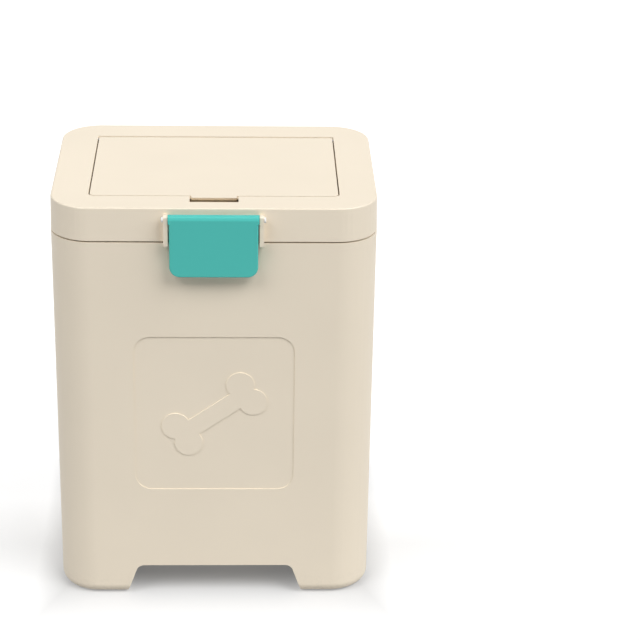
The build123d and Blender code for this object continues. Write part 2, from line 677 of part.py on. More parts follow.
def well_room(extra, z0):
    """The bucket's lower hollow, drawn in by extra and starting at z0."""
    draft = degrees(atan(WELL_DRAFT / (LEDGE_Z - BUCKET_BOTTOM)))
    return prism(outline(WELL_INSET + WELL_DRAFT + extra, z0), LEDGE_Z - z0, taper=-draft)


def well_ribs():
    """Shallow upright ribs inside the bucket's lower walls."""
    floor = BUCKET_BOTTOM + BUCKET_T
    skin = well_room(0, floor) - well_room(WELL_RIB, floor)
    low = floor + WELL_RIB_LOW
    high = LEDGE_Z - WELL_RIB_HIGH
    slabs = []
    half = WELL_RIB_W / 2
    across = int((WIDTH / 2 - 2 * WELL_INSET) // WELL_RIB_PITCH)
    for i in range(-across, across + 1):
        x = i * WELL_RIB_PITCH
        slabs.append(block(x - half, x + half, -DEPTH, DEPTH, low, high))
    along = int((DEPTH / 2 - 2 * WELL_INSET) // WELL_RIB_PITCH)
    for i in range(-along, along + 1):
        y = i * WELL_RIB_PITCH
        slabs.append(block(-WIDTH, WIDTH, y - half, y + half, low, high))
    return skin & (Part() + slabs)


def handle_lug():
    """The lug beside one foot of the right handle."""
    near = LEG_Y[1] + LUG_GAP
    return block(HANDLE_X - HANDLE_EYE_R, WIDTH / 2 - COLLAR_INSET, near, near + LUG_W,
                 HANDLE_AXIS_Z - LUG_H / 2, HANDLE_AXIS_Z + LUG_H / 2)


def handle_pivot(radius):
    """The pivot through one foot of the right handle and its lug."""
    return rod_y(radius, LEG_Y[0], LEG_Y[1] + LUG_GAP + LUG_W, HANDLE_X, HANDLE_AXIS_Z)


def four_ways(shape):
    """One shape at each of the four handle feet."""
    front = mirror(shape, about=Plane.XZ)
    return [shape, front, mirrored(shape), mirrored(front)]


def make_bucket_collar():
    """The bucket's straight upper wall, with the lugs of its handles."""
    collar = band(BUCKET_INSET, COLLAR_INSET, BUCKET_TOP - COLLAR_H, BUCKET_TOP)
    collar += four_ways(handle_lug())
    return collar - four_ways(handle_pivot(HANDLE_PIN_R))


def make_bucket_well():
    """The bucket's ledge and the narrower ribbed well below it."""
    ledge = band(COLLAR_INSET, WELL_INSET, LEDGE_Z - BUCKET_T, LEDGE_Z)
    well = well_room(-BUCKET_T, BUCKET_BOTTOM) - well_room(0, BUCKET_BOTTOM + BUCKET_T)
    return ledge + well + well_ribs()


def make_bucket_rim():
    """The dark bead over the collar's edge."""
    low = BUCKET_TOP - BEAD_DOWN
    bead = band(BUCKET_INSET - BEAD_T, COLLAR_INSET + BEAD_T, low, BUCKET_TOP + BEAD_UP)
    bead = fillet(bead.faces().sort_by(Axis.Z)[-1].edges(), BEAD_T)
    return bead - band(BUCKET_INSET, COLLAR_INSET, low, BUCKET_TOP)


def make_handle():
    """The right handle: a flat loop that hangs inside the bucket's collar."""
    outer = HANDLE_SPAN + HANDLE_W
    inner = HANDLE_SPAN - HANDLE_W
    bottom = HANDLE_AXIS_Z - HANDLE_REACH
    side = HANDLE_X - HANDLE_T / 2
    loop = block(side, side + HANDLE_T, -outer / 2, outer / 2, bottom - HANDLE_W / 2, HANDLE_AXIS_Z)
    loop = fillet(loop.edges().filter_by(Axis.X).group_by(Axis.Z)[0], HANDLE_CORNER_R)
    gap = block(side, side + HANDLE_T, -inner / 2, inner / 2, bottom + HANDLE_W / 2, HANDLE_AXIS_Z)
    loop -= fillet(gap.edges().filter_by(Axis.X).group_by(Axis.Z)[0], HANDLE_CORNER_R - HANDLE_W)
    eye = rod_y(HANDLE_EYE_R, *LEG_Y, HANDLE_X, HANDLE_AXIS_Z)
    bore = rod_y(HANDLE_PIN_R + RUN, *LEG_Y, HANDLE_X, HANDLE_AXIS_Z)
    return loop + [eye, mirror(eye, about=Plane.XZ)] - [bore, mirror(bore, about=Plane.XZ)]


def write(name, shape):
    """Save one piece, or a group of equal pieces."""
    pieces = shape if isinstance(shape, list) else [shape]
    solids = [solid for piece in pieces for solid in piece.solids()]
    export_step(solids[0] if len(solids) == 1 else Compound(children=solids), f"parts/{name}.step")


os.makedirs("parts", exist_ok=True)
film, core, plug = make_roll()
cradle = make_roll_cradle()
handle = make_handle()
PIECES = {
    "bin_shell": make_bin_shell(),
    "bin_floor": make_bin_floor(),
    "rim_gasket": make_rim_gasket(),
    "latch_catch": make_latch_catch(),
    "lid_hinge_pins": make_hinge_pins(),
    "lid_shell": make_lid_shell(),
    "lid_inner_panel": make_lid_inner_panel(),
    "roll_tub": make_roll_tub(),
    "lid_seal": make_lid_seal(),
    "filter_grille": make_filter_grille(),
    "carbon_filter": make_carbon_filter(),
    "filter_cover": make_filter_cover(),
    "roll_cradle_left": mirrored(cradle),
    "roll_cradle_right": cradle,
    "latch_bracket": make_latch_bracket(),
    "latch_pin": make_latch_pin(),
    "latch": make_latch(),
    "flap": make_flap(),
    "flap_pins": [flap_pin(side, FLAP_PIN_R) for side in (-1, 1)],
    "roll_film": film,
    "roll_core": core,
    "core_plug_left": mirrored(plug),
    "core_plug_right": plug,
    "bucket_collar": make_bucket_collar(),
    "bucket_well": make_bucket_well(),
    "bucket_rim": make_bucket_rim(),
    "handle_left": mirrored(handle),
    "handle_right": handle,
    "handle_pins": four_ways(handle_pivot(HANDLE_PIN_R)),
}
for name, shape in PIECES.items():
    write(name, shape)
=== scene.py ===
# %% [markdown]
# # A dog waste station
# The object is a lidded bin of cream plastic. Its lid carries a flap over a roll of bags, an odour
# filter behind a grille, and a teal latch. A grey bucket with two loop handles stands inside.
# The CAD model is already the right size and moves on its hinges, so this notebook dresses it:
# it softens the moulded edges, remakes the soft pieces, and gives each surface its finish.

# %% Frame
import json
from math import atan2, cos, degrees, radians, sin

import bmesh
import bpy
from mathutils import Matrix, Vector

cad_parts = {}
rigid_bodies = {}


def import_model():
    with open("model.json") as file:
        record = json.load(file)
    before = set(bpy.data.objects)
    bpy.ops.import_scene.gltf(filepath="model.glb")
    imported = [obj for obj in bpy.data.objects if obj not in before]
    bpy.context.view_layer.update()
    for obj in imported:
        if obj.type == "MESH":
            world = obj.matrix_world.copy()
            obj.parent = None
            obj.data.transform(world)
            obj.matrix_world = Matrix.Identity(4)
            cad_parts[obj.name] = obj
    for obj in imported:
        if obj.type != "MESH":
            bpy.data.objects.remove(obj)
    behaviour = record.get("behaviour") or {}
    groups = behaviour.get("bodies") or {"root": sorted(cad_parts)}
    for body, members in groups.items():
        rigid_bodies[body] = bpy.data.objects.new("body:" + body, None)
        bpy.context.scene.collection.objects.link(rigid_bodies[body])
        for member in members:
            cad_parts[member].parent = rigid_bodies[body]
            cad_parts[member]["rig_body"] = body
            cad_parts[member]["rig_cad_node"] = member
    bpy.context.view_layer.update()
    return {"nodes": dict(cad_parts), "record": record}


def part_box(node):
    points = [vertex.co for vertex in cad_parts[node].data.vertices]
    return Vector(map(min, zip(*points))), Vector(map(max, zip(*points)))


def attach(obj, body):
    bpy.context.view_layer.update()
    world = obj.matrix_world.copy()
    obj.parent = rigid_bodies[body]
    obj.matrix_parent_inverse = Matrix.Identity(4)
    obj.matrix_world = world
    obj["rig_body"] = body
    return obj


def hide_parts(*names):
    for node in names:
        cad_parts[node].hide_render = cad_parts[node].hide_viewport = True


MM = 0.001
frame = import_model()

# %% [markdown]
# ## Camera
# The picture looks down on the front by about 24 degrees with a long lens, so that upright edges
# stay almost parallel. A camera is three directions and a place: right, up and back. Working them
# out from two angles, a small roll and a point to aim at keeps each number one that can be
# measured. The station stands left of the middle, so the camera is slid sideways until the aimed
# point falls on its pixel. That needs no lens shift, which would be lost in other views.

# %% Camera
PICTURE = 640
LENS = 123.02
SENSOR = 36.0
AZIMUTH = radians(-2.315)
ELEVATION = radians(24.371)
ROLL = radians(1.0987)
DISTANCE = 2.4409
AIM = Vector((0, 0, 0.230))
AIM_PIXEL = Vector((215.6, 356.1))

back = Vector((sin(AZIMUTH) * cos(ELEVATION), -cos(AZIMUTH) * cos(ELEVATION), sin(ELEVATION)))
level_right = Vector((cos(AZIMUTH), sin(AZIMUTH), 0))
level_up = back.cross(level_right)
right = cos(ROLL) * level_right + sin(ROLL) * level_up
up = cos(ROLL) * level_up - sin(ROLL) * level_right
per_pixel = DISTANCE * SENSOR / LENS / PICTURE
place = AIM + DISTANCE * back
place -= right * (AIM_PIXEL.x - PICTURE / 2) * per_pixel
place += up * (AIM_PIXEL.y - PICTURE / 2) * per_pixel

camera = bpy.data.objects.new("camera", bpy.data.cameras.new("camera"))
camera.data.lens = LENS
camera.data.sensor_width = SENSOR
camera.data.clip_end = 60
camera.matrix_world = Matrix.Translation(place) @ Matrix((right, up, back)).transposed().to_4x4()
bpy.context.scene.collection.objects.link(camera)
bpy.context.scene.camera = camera
print("camera at", [round(v, 3) for v in place])

# %% [markdown]
# ## Floor
# The station stands on a white studio floor and keeps only a soft shadow. A large plane does this.
# It is mid grey to the light that bounces off it, so that it doesn't fill the shadow under the
# latch, and it has a glow for camera and mirror rays alone, so that it reads as white. The glow
# fades under the body, which is painted shade that keeps the floor seen through the arch dark, and
# it is stronger behind the body, which is painted light over the body's own shadow where the
# photo's floor is plain white. A few helpers come first, because nodes that are made one by one
# would fill the page.

# %% Shader helpers
def tone(text):
    """A colour as it is read from a screen, six hex digits, in the linear values that a shader takes."""
    levels = [int(text[i:i + 2], 16) / 255 for i in (0, 2, 4)]
    return [v / 12.92 if v <= 0.04045 else ((v + 0.055) / 1.055) ** 2.4 for v in levels] + [1.0]


def put(tree, kind, inputs=None, **settings):
    """A new shader node. An input takes a value, or a socket to be linked from."""
    made = tree.nodes.new("ShaderNode" + kind)
    for name, value in settings.items():
        setattr(made, name, value)
    for name, value in (inputs or {}).items():
        if isinstance(value, bpy.types.NodeSocket):
            tree.links.new(value, made.inputs[name])
        else:
            made.inputs[name].default_value = value
    return made


def new_material(name):
    """An empty material: its node tree and its output node."""
    material = bpy.data.materials.new(name)
    material.use_nodes = True
    material.node_tree.nodes.clear()
    output = material.node_tree.nodes.new("ShaderNodeOutputMaterial")
    return material, material.node_tree, output


def steps(tree, value, low, high, to_low=0.0, to_high=1.0):
    """A value spread from one range over another, held at the ends."""
    return put(tree, "MapRange", {"Value": value, "From Min": low, "From Max": high,
                                  "To Min": to_low, "To Max": to_high}).outputs[0]


def reckon(tree, operation, a, b, c=0.0):
    """One sum with two or three values or sockets."""
    return put(tree, "Math", {0: a, 1: b, 2: c}, operation=operation).outputs[0]


def seen_rays(tree):
    """1 for camera, mirror and clear rays, 0 for the rays that carry light."""
    path = put(tree, "LightPath").outputs
    shiny = reckon(tree, "MAXIMUM", path["Is Glossy Ray"], path["Is Transmission Ray"])
    return reckon(tree, "MAXIMUM", path["Is Camera Ray"], shiny)


# %% Floor
FLOOR_SIDE = 14.0
FLOOR_DROP = 0.2 * MM
FLOOR_GREY = 0.45
OPEN_GLOW = 0.55
# Behind the body the glow is raised: painted light over the body's shadow.
REAR_PAINTED_LIGHT = 0.75
# Under the body the glow drops to this faint level: painted shade.
UNDER_BODY_PAINTED_SHADE = 0.155
PAINTED_SHADE_FADE_X = (150 * MM, 200 * MM)
PAINTED_SHADE_FADE_Y = (80 * MM, 195 * MM)
REAR_PAINTED_LIGHT_Y = (-20 * MM, 90 * MM)


def floor_glow_with_painted_shade(tree):
    """The floor's glow: painted shade deep under the body, full outside its footprint, and painted light
    behind it.
    """
    spot = put(tree, "SeparateXYZ", {0: put(tree, "TexCoord").outputs["Object"]})
    reach = []
    for axis, fade in (("X", PAINTED_SHADE_FADE_X), ("Y", PAINTED_SHADE_FADE_Y)):
        size = put(tree, "Math", {0: spot.outputs[axis]}, operation="ABSOLUTE").outputs[0]
        reach.append(steps(tree, size, *fade))
    # Inside the footprint the glow falls away, which paints shade under the body.
    outside_painted_shade = reckon(tree, "MAXIMUM", *reach)
    # Behind the body the glow rises, which paints light over the body's shadow.
    rear = steps(tree, spot.outputs["Y"], *REAR_PAINTED_LIGHT_Y, OPEN_GLOW, REAR_PAINTED_LIGHT)
    return steps(tree, outside_painted_shade, 0.0, 1.0, UNDER_BODY_PAINTED_SHADE, rear)


white, tree, output = new_material("studio floor")
matt = put(tree, "BsdfDiffuse", {"Color": (FLOOR_GREY, FLOOR_GREY, FLOOR_GREY, 1)})
glow = put(tree, "Emission", {"Color": (1, 1, 1, 1), "Strength": floor_glow_with_painted_shade(tree)})
lit = put(tree, "AddShader", {0: matt.outputs[0], 1: glow.outputs[0]})
choice = put(tree, "MixShader", {0: seen_rays(tree), 1: matt.outputs[0], 2: lit.outputs[0]})
tree.links.new(choice.outputs[0], output.inputs[0])
bpy.ops.mesh.primitive_plane_add(size=FLOOR_SIDE, location=(0, 0, -FLOOR_DROP))
floor = bpy.context.object
floor.name = "studio_floor"
floor.data.materials.append(white)
print("floor side in m:", FLOOR_SIDE)

# %% [markdown]
# ## Light
# Four suns with wide discs and a faint even sky light the object: a high and a low one on either
# side, the right pair stronger, because the photo's right edge is the paler one. The high pair
# models the front, the low pair reaches under the latch and into the arch. A wide sun gives soft
# shadow edges, and unlike a near lamp it lights the whole floor alike. Each sun is given by its
# azimuth, elevation and disc in degrees, and its strength.

# %% Sky and suns
SKY = 0.1
SUNS = {
    "high right sun": (42, 52, 30, 1.64),
    "high left sun": (-42, 52, 30, 1.02),
    "low right sun": (75, 34, 36, 1.10),
    "low left sun": (-75, 34, 36, 0.62),
}
world = bpy.data.worlds.new("white sky")
bpy.context.scene.world = world
world.use_nodes = True
tree = world.node_tree
tree.nodes.clear()
even = put(tree, "Background", {"Color": (1, 1, 1, 1), "Strength": SKY})
plain = put(tree, "Background", {"Color": (1, 1, 1, 1), "Strength": 1.0})
both = put(tree, "MixShader", {0: seen_rays(tree), 1: even.outputs[0], 2: plain.outputs[0]})
tree.links.new(both.outputs[0], put(tree, "OutputWorld").inputs[0])
for name, (azimuth, elevation, disc, strength) in SUNS.items():
    sun = bpy.data.objects.new(name, bpy.data.lights.new(name, "SUN"))
    sun.data.angle = radians(disc)
    sun.data.energy = strength
    sun.rotation_euler = (radians(90 - elevation), 0, radians(azimuth))
    bpy.context.scene.collection.objects.link(sun)
bpy.context.scene.view_settings.view_transform = "Standard"
print("suns:", len(SUNS))

# %% [markdown]
# ## Shared effects
# Moulded plastic is never one flat colour. The steel mould leaves a fine grain, the wall cools
# unevenly and gets faint clouds, and hands and floors leave scuffs and dust. Each effect is a node
# group with named sockets, built once and placed in every material that needs it, each time with
# its own values. The groups only put out values and colours. The shader stays in the material.

# %% Node groups
def start_group(name, inputs, outputs):
    """A new node group with float inputs, given with their values, and named float outputs."""
    group = bpy.data.node_groups.new(name, "ShaderNodeTree")
    for label, value in inputs.items():
        made = group.interface.new_socket(label, in_out="INPUT", socket_type="NodeSocketFloat")
        made.default_value = value
    for label in outputs:
        group.interface.new_socket(label, in_out="OUTPUT", socket_type="NodeSocketFloat")
    return group, group.nodes.new("NodeGroupInput").outputs, group.nodes.new("NodeGroupOutput").inputs


def noise(tree, scale, detail=3.0, stretch=(1, 1, 1), kind="TexNoise"):
    """Noise on the piece's own coordinates, drawn out along an axis where stretch is below 1."""
    spot = put(tree, "TexCoord").outputs["Object"]
    spread = put(tree, "Mapping", {"Vector": spot, "Scale": stretch})
    made = put(tree, kind, {"Vector": spread.outputs[0], "Scale": scale})
    if kind == "TexNoise":
        made.inputs["Detail"].default_value = detail
    return made.outputs[0]


# %% Moulded grain
grain, given, result = start_group("moulded grain", {"Grain Size": 900.0, "Cloud Size": 9.0},
                                   ("Height", "Clouds"))
grain.links.new(noise(grain, given["Grain Size"], 2.0), result["Height"])
grain.links.new(steps(grain, noise(grain, given["Cloud Size"], 2.0), 0.3, 0.7), result["Clouds"])
print("group:", grain.name)

# %% [markdown]
# Scuffs are short streaks where things rub past. Noise is drawn out sideways for some and upwards
# for others, and only its peaks are kept. Dust gathers low down, so it fades with height. A painted
# image could show both, but it would have to be unwrapped on every piece.

# %% Handling marks
marks, given, result = start_group("handling marks", {"Scuffs": 0.5, "Dust": 0.5, "Dust Top": 0.03},
                                   ("Scuffs", "Dust"))
streak_a = steps(marks, noise(marks, 55.0, 6.0, (0.25, 1.0, 1.6)), 0.60, 0.72)
streak_b = steps(marks, noise(marks, 70.0, 6.0, (1.4, 1.0, 0.2)), 0.62, 0.74)
rubbed = reckon(marks, "MAXIMUM", streak_a, streak_b)
marks.links.new(reckon(marks, "MULTIPLY", rubbed, given["Scuffs"]), result["Scuffs"])
height = put(marks, "SeparateXYZ", {0: put(marks, "TexCoord").outputs["Object"]}).outputs["Z"]
low_down = steps(marks, height, given["Dust Top"], 0.0)
speck = steps(marks, noise(marks, 260.0, 4.0), 0.45, 0.75)
dusty = reckon(marks, "MULTIPLY", reckon(marks, "MULTIPLY", low_down, speck), given["Dust"])
marks.links.new(dusty, result["Dust"])
print("group:", marks.name)

# %% [markdown]
# ## Plastics
# All the plastics are the same kind of surface: a colour with faint clouds, a satin shine that
# scuffs break up, a fine grain in the bump, and a little dust by the floor. One function makes them
# from a few values, so that the cream, the teal, the greys and the black stay one family.

# %% Plastic
SCUFF_SHINE = -0.10
DUST_ROUGH = 0.2
DUST = "c8bfae"
GRAIN_DEPTH = 0.1 * MM
PLASTIC_IOR = 1.46


def plastic(name, colour, rough=0.5, clouds=0.012, bump=0.12, grain_size=900.0, scuffs=0.5, dust=0.25):
    """Moulded plastic in one colour."""
    material, tree, output = new_material(name)
    grained = put(tree, "Group", node_tree=grain)
    grained.inputs["Grain Size"].default_value = grain_size
    handled = put(tree, "Group", node_tree=marks)
    handled.inputs["Scuffs"].default_value = scuffs
    handled.inputs["Dust"].default_value = dust
    pale = [min(1.0, v * (1 + clouds)) for v in colour[:3]] + [1]
    deep = [v * (1 - clouds) for v in colour[:3]] + [1]
    clouded = put(tree, "Mix", {0: grained.outputs["Clouds"], 6: deep, 7: pale}, data_type="RGBA")
    dusted = put(tree, "Mix", {0: handled.outputs["Dust"], 6: clouded.outputs[2], 7: tone(DUST)},
                 data_type="RGBA")
    worn = reckon(tree, "MULTIPLY_ADD", handled.outputs["Scuffs"], SCUFF_SHINE, rough)
    rougher = reckon(tree, "MULTIPLY_ADD", handled.outputs["Dust"], DUST_ROUGH, worn)
    bumped = put(tree, "Bump", {"Height": grained.outputs["Height"], "Strength": bump,
                                "Distance": GRAIN_DEPTH})
    shader = put(tree, "BsdfPrincipled", {"Base Color": dusted.outputs[2], "Roughness": rougher,
                                          "Normal": bumped.outputs[0], "IOR": PLASTIC_IOR})
    tree.links.new(shader.outputs[0], output.inputs[0])
    return material


finish = {
    "cream_plastic": plastic("cream plastic", tone("efe3cf")),
    "pale_plastic": plastic("pale plastic", tone("ecebe9"), dust=0.1),
    "teal_plastic": plastic("teal plastic", tone("4bbfb6"), rough=0.45, scuffs=0.8),
    "black_plastic": plastic("black plastic", tone("2b2b2c"), rough=0.42, clouds=0.08, scuffs=1.0),
    "grey_plastic": plastic("grey plastic", tone("67676a"), rough=0.55, grain_size=600.0, bump=0.25),
    "dark_plastic": plastic("dark plastic", tone("474543"), rough=0.6, grain_size=600.0, bump=0.25),
}
print("plastics:", ", ".join(finish))

# %% [markdown]
# ## Rubber, steel, foam and card
# The black trim ring and the lid's grey seal are matt rubber with a bloom of fine powder. The hinge
# pins are drawn steel, with lines that run along them. The filter is open-celled carbon foam. The
# core is brown card with short fibres. Each is two tones, a pattern that mixes them and a bump, so
# one function builds them all and each finish only brings its own patterns.

# %% Other finishes
def simple(name, colour_a, colour_b, mask, height, rough, bump, depth, **inputs):
    """A material with two mixed tones, a bump and a roughness; mask and height are made by functions."""
    material, tree, output = new_material(name)
    mixed = put(tree, "Mix", {0: mask(tree), 6: colour_a, 7: colour_b}, data_type="RGBA")
    bumped = put(tree, "Bump", {"Height": height(tree), "Strength": bump, "Distance": depth})
    shader = put(tree, "BsdfPrincipled", {"Base Color": mixed.outputs[2], "Normal": bumped.outputs[0],
                                          "Roughness": rough, **inputs})
    tree.links.new(shader.outputs[0], output.inputs[0])
    return material


def rubber(name, deep, pale, rough):
    """Matt rubber with a bloom of fine powder."""
    return simple(name, tone(deep), tone(pale), lambda t: steps(t, noise(t, 120.0), 0.4, 0.7),
                  lambda t: noise(t, 1500.0), rough, 0.3, 0.1 * MM)


def drawn_lines(tree):
    """Fine lines along a drawn pin."""
    return noise(tree, 2500.0, 2.0, (0.02, 1, 1))


def foam_cells(tree):
    """The open cells of a foam."""
    return noise(tree, 420.0, kind="TexVoronoi")


def fibres(tree):
    """Short fibres round a card tube."""
    return noise(tree, 700.0, 4.0, (1, 0.2, 0.2))


finish["black_rubber"] = rubber("black rubber", "191919", "2e2d2c", 0.75)
finish["grey_rubber"] = rubber("grey rubber", "a89f8f", "b9b0a0", 0.7)
finish["steel"] = simple("drawn steel", tone("b9bac0"), tone("8f9096"), drawn_lines, drawn_lines,
                         0.32, 0.2, 0.05 * MM, Metallic=1.0)
finish["carbon_foam"] = simple("carbon foam", tone("1d1d1e"), tone("3a3a3b"), foam_cells, foam_cells,
                               0.95, 0.9, 1.2 * MM)
finish["card"] = simple("core card", tone("8f7c63"), tone("b09b7d"), fibres, fibres, 0.85, 0.4, 0.2 * MM)
print("finishes:", len(finish))

# %% [markdown]
# ## Film
# Bag film is thin glossy plastic with a pale print. The round cells of a Voronoi pattern make large
# plain patches without an image. Only the fine wrinkles are bump here, drawn out along the roll,
# because the larger ones are pushed into the mesh further down.

# %% Film
def patches(tree):
    """Large pale rounded patches in the film's print."""
    spots = noise(tree, 17.0, kind="TexVoronoi", stretch=(0.8, 1.0, 1.0))
    return steps(tree, spots, 0.42, 0.40)


def wrinkles(tree):
    """Long soft wrinkles along the roll, crossed by finer ones."""
    long_ones = noise(tree, 160.0, 4.0, (0.10, 1, 1))
    crossing = noise(tree, 240.0, 5.0, (0.45, 1, 1))
    return reckon(tree, "ADD", long_ones, reckon(tree, "MULTIPLY", crossing, 0.4))


finish["teal_film"] = simple("teal film", tone("12a59c"), tone("86a9a5"), patches, wrinkles, 0.28, 0.55,
                             0.8 * MM, **{"Coat Weight": 0.3, "Coat Roughness": 0.12})
print("film:", finish["teal_film"].name)

# %% [markdown]
# ## Softened mouldings
# No moulded edge is perfectly sharp, and a sharp edge gives itself away because it catches no
# light. The CAD pieces have their big roundings already, so each gets only a small one here. The
# CAD mesh must stay as it is, so a copy is merged into one closed skin, its flat triangles are
# dissolved, and a Bevel modifier rounds what is still sharp. A flat face with many holes dissolves
# badly, so such a piece is first cut along its own steps, and the cuts are kept as seams. Weighted
# normals then keep the flats flat and let the shading turn only in the roundings.

# %% Softening helpers
SHARP = 38.0
FLAT = 0.5
MERGE_WITHIN = 0.002 * MM
CUT_WITHIN = 0.01 * MM
LEAST_STEP = 18 * MM
BEVEL_SEGMENTS = 2


def select_only(piece):
    """Deselects all, then selects and activates one object."""
    bpy.ops.object.select_all(action="DESELECT")
    piece.hide_set(False)
    piece.select_set(True)
    bpy.context.view_layer.objects.active = piece


def body_of(node):
    """The body that a CAD node rides on."""
    return frame["nodes"][node]["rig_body"]


def volume(piece):
    """The volume inside a mesh, in cubic centimetres."""
    shape = bmesh.new()
    shape.from_mesh(piece.data)
    inside = shape.calc_volume(signed=True)
    shape.free()
    return inside * 1e6


def add_modifier(piece, kind, **settings):
    """Adds a modifier, sets it and applies it."""
    modifier = piece.modifiers.new(kind.lower(), kind)
    for name, value in settings.items():
        setattr(modifier, name, value)
    select_only(piece)
    bpy.ops.object.modifier_apply(modifier=modifier.name)


def steps_along(piece, axis):
    """The places along an axis where sharp edges of a good length lie across it."""
    shape = bmesh.from_edit_mesh(piece.data)
    lengths = {}
    for edge in shape.edges:
        start, end = (vertex.co[axis] for vertex in edge.verts)
        if abs(start - end) < CUT_WITHIN and edge.calc_face_angle(0) > radians(SHARP):
            length, _ = lengths.get(round(start / MM, 1), (0, 0))
            lengths[round(start / MM, 1)] = length + edge.calc_length(), start
    return [spot for length, spot in lengths.values() if length > LEAST_STEP]


def merged_copy(node, name, cuts):
    """A copy of a CAD node as one closed skin, with its flat triangles dissolved between cuts."""
    select_only(frame["nodes"][node])
    bpy.ops.object.duplicate()
    piece = bpy.context.object
    piece.name = name
    del piece["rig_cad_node"]
    bpy.ops.object.mode_set(mode="EDIT")
    bpy.ops.mesh.select_all(action="SELECT")
    bpy.ops.mesh.remove_doubles(threshold=MERGE_WITHIN)
    for axis in ("XYZ".index(letter) for letter in cuts):
        for spot in steps_along(piece, axis):
            across = Vector((axis == 0, axis == 1, axis == 2))
            bpy.ops.mesh.select_all(action="SELECT")
            bpy.ops.mesh.bisect(plane_co=spot * across, plane_no=across, threshold=CUT_WITHIN)
            bpy.ops.mesh.mark_seam(clear=False)
    bpy.ops.mesh.select_all(action="SELECT")
    bpy.ops.mesh.dissolve_limited(angle_limit=radians(FLAT), delimit={"SEAM"})
    bpy.ops.object.mode_set(mode="OBJECT")
    return piece


def soften(node, width, cuts):
    """Replaces a CAD node by a copy, cut along some axes, with its sharp edges rounded by width in mm."""
    piece = merged_copy(node, node + "_moulded", cuts)
    before = volume(piece)
    add_modifier(piece, "BEVEL", width=width * MM, segments=BEVEL_SEGMENTS, limit_method="ANGLE",
                 angle_limit=radians(SHARP), use_clamp_overlap=True, miter_outer="MITER_ARC")
    bpy.ops.object.shade_smooth()
    add_modifier(piece, "WEIGHTED_NORMAL", mode="FACE_AREA_WITH_ANGLE", weight=80, keep_sharp=True)
    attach(piece, body_of(node))
    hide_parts(node)
    print(f"{node}: {before:.1f} to {volume(piece):.1f} cubic cm, {len(piece.data.polygons)} faces")
    return piece


# %% [markdown]
# The widths follow the real mouldings: half a millimetre on the lid and the tub, less on thin bars
# and rings. The body gets only a quarter, so that the seam under the lid stays a thin dark line. The
# letters are the axes that a piece is cut along.

# %% Softened pieces
SOFTENED = {
    "bin_shell": (0.25, ""), "lid_shell": (0.5, "XY"), "flap": (0.5, "XY"), "lid_inner_panel": (0.5, "XY"),
    "roll_tub": (0.5, ""), "latch": (0.5, ""), "latch_bracket": (0.4, ""), "latch_catch": (0.4, ""),
    "filter_cover": (0.4, ""), "filter_grille": (0.3, "XY"), "roll_cradle_left": (0.4, ""),
    "roll_cradle_right": (0.4, ""), "core_plug_left": (0.3, ""), "core_plug_right": (0.3, ""),
    "bucket_collar": (0.4, "Z"), "bucket_well": (0.4, "Z"), "bucket_rim": (0.3, "Z"),
    "handle_left": (0.5, ""), "handle_right": (0.5, ""), "rim_gasket": (0.25, ""), "lid_seal": (0.5, ""),
    "bin_floor": (0.5, ""), "roll_core": (0.2, ""),
}
dressed = {node: soften(node, *choice) for node, choice in SOFTENED.items()}

# %% [markdown]
# ## The wound bags
# The bags are one long strip of thin folded film on a card core. A real roll is never a true
# cylinder: its layers stand in and out a little at both ends, the free edge of the last bag lies on
# it as a loose tail, and the tight film draws itself into long wrinkles. A turned profile would give
# the ends, but long faces can't take wrinkles. So an open tube is cut into rings first, and each end
# is then extruded and drawn in to the core, layer by layer.

# %% Sizes of the roll
FILM_TAUT = 0.5 * MM
ROLL_SEGMENTS = 144
ROLL_RINGS = 90
END_LAYERS = 9
LAYER_STEP = 0.55 * MM
TAIL_ROWS = 13
TAIL_START = 118
TAIL_LIFT = 1.6 * MM
TAIL_SUNK = 0.004
TAIL_T = 0.25 * MM
TAIL_WAVE = 1.2 * MM
WRINKLE_SIZE = 7 * MM
WRINKLE_DEPTH = 1.5 * MM
WRINKLE_FADE = 1.4
CREASE_SIZE = 3 * MM
CREASE_DEPTH = 0.5 * MM

roll_low, roll_high = (Vector(corner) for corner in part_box("roll_film"))
roll_middle = (roll_low + roll_high) / 2
roll_r = (roll_high.z - roll_low.z) / 2 - FILM_TAUT
core_r = (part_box("roll_core")[1][2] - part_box("roll_core")[0][2]) / 2
roll_half = (roll_high.x - roll_low.x) / 2 - 2 * LAYER_STEP
print("roll radius in mm:", round(roll_r / MM, 2), "core:", round(core_r / MM, 2))


# %% Picking helpers
def pick(piece, kind, test):
    """In edit mode, selects the vertices, edges or faces that pass a test, and nothing else."""
    bpy.ops.mesh.select_mode(type=kind)
    bpy.ops.mesh.select_all(action="DESELECT")
    shape = bmesh.from_edit_mesh(piece.data)
    for part in {"VERT": shape.verts, "EDGE": shape.edges, "FACE": shape.faces}[kind]:
        if test(part):
            part.select_set(True)
    shape.select_flush_mode()
    bmesh.update_edit_mesh(piece.data)


def start_piece(name):
    """Names the primitive that was just added, puts its place in its mesh, and opens it."""
    piece = bpy.context.object
    piece.name = name
    bpy.ops.object.transform_apply(location=True, rotation=True, scale=True)
    bpy.ops.object.mode_set(mode="EDIT")
    return piece


def displace(piece, kind, size, strength, middle, stretch=(1, 1, 1), group=""):
    """Pushes a pattern into a mesh. An empty stretches the pattern and is removed again."""
    pattern = bpy.data.textures.new(kind.lower(), kind)
    pattern.noise_scale = 1.0
    guide = bpy.data.objects.new("guide", None)
    guide.scale = [size * v for v in stretch]
    bpy.context.scene.collection.objects.link(guide)
    bpy.context.view_layer.update()
    add_modifier(piece, "DISPLACE", texture=pattern, texture_coords="OBJECT", texture_coords_object=guide,
                 strength=strength, mid_level=middle, vertex_group=group)
    bpy.data.objects.remove(guide)
    bpy.data.textures.remove(pattern)


